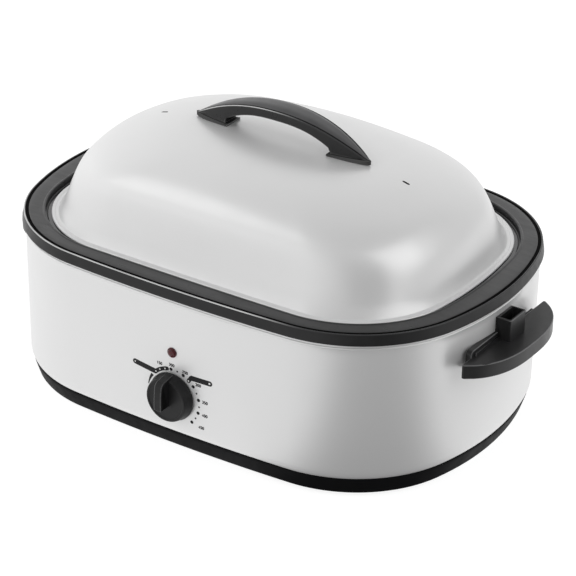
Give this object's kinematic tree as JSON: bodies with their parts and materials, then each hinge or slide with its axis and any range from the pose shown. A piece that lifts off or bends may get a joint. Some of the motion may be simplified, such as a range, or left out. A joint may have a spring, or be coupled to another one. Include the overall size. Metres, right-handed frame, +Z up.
{
  "type": "electric roaster oven",
  "caption": "Oblong electric roaster oven with lift-off domed lid, removable pan and rack, side handles with lid sockets, and a thermostat knob on the front.",
  "frame": {"origin": "on the table, under the middle of the part's bounding box", "axes": "+Z up; the knob faces -Y; the long side lies along X"},
  "size_m": [0.604, 0.4061, 0.3155],
  "materials": {
    "body_paint": "satin pale silver-white paint",
    "lid_paint": "satin pale silver-white paint",
    "black_plastic": "satin moulded black",
    "rim_black": "satin black rim",
    "zinc_steel": "zinc-plated sheet and screws",
    "well_steel": "aluminised steel",
    "enamel": "glossy dark enamel with fine speckle",
    "chrome_wire": "plated wire",
    "rubber": "matt rubber",
    "glass_fibre": "needled glass-fibre mat",
    "heater": "woven heating band",
    "ceramic": "unglazed steatite",
    "brass": "plain brass",
    "wire_sleeve": "braided glass sleeve",
    "red_lens": "transparent red lens",
    "lamp_glass": "neon lamp",
    "dial_print": "screen-printed ink"
  },
  "bodies": {
    "case": {"base_ring": "black_plastic", "base_plate": "zinc_steel", "feet": "rubber", "foot_screws": "zinc_steel", "base_screws": "zinc_steel", "outer_wrap": "body_paint", "top_rim": "rim_black", "heat_well": "well_steel", "insulation_blanket": "glass_fibre", "heater_band": "heater", "heater_clips": "zinc_steel", "thermostat_bracket": "zinc_steel", "thermostat_body": "ceramic", "thermostat_screws": "zinc_steel", "indicator_lens": "red_lens", "indicator_lamp": "lamp_glass", "thermal_fuse": "ceramic", "fuse_strap": "zinc_steel", "terminal_block": "ceramic", "terminal_screws": "brass", "lead_wires": "wire_sleeve", "cord_bushing": "rubber", "side_handle_left": "black_plastic", "side_handle_right": "black_plastic", "handle_screws": "zinc_steel"},
    "knob": {"control_knob": "black_plastic", "thermostat_shaft": "zinc_steel"},
    "pan": {"cooking_pan": "enamel"},
    "rack": {"roasting_rack": "chrome_wire", "rack_loops": "chrome_wire"},
    "lid": {"lid_shell": "lid_paint", "lid_handle": "black_plastic", "lid_handle_pads": "rubber", "lid_handle_screws": "zinc_steel"}
  },
  "joints": [
    {"name": "knob_turn", "type": "hinge", "parent": "case", "child": "knob", "pos_m": [-0.002, -0.1844, 0.0654], "axis": [0, -1, 0], "range_deg": [-132, 78]},
    {"name": "pan_lift", "type": "slide", "parent": "case", "child": "pan", "axis": [0, 0, 1], "range_m": [0, 0.2]},
    {"name": "rack_lift", "type": "slide", "parent": "pan", "child": "rack", "axis": [0, 0, 1], "range_m": [0, 0.2]},
    {"name": "lid_lift", "type": "slide", "parent": "rack", "child": "lid", "axis": [0, 0, 1], "range_m": [0, 0.25]}
  ]
}
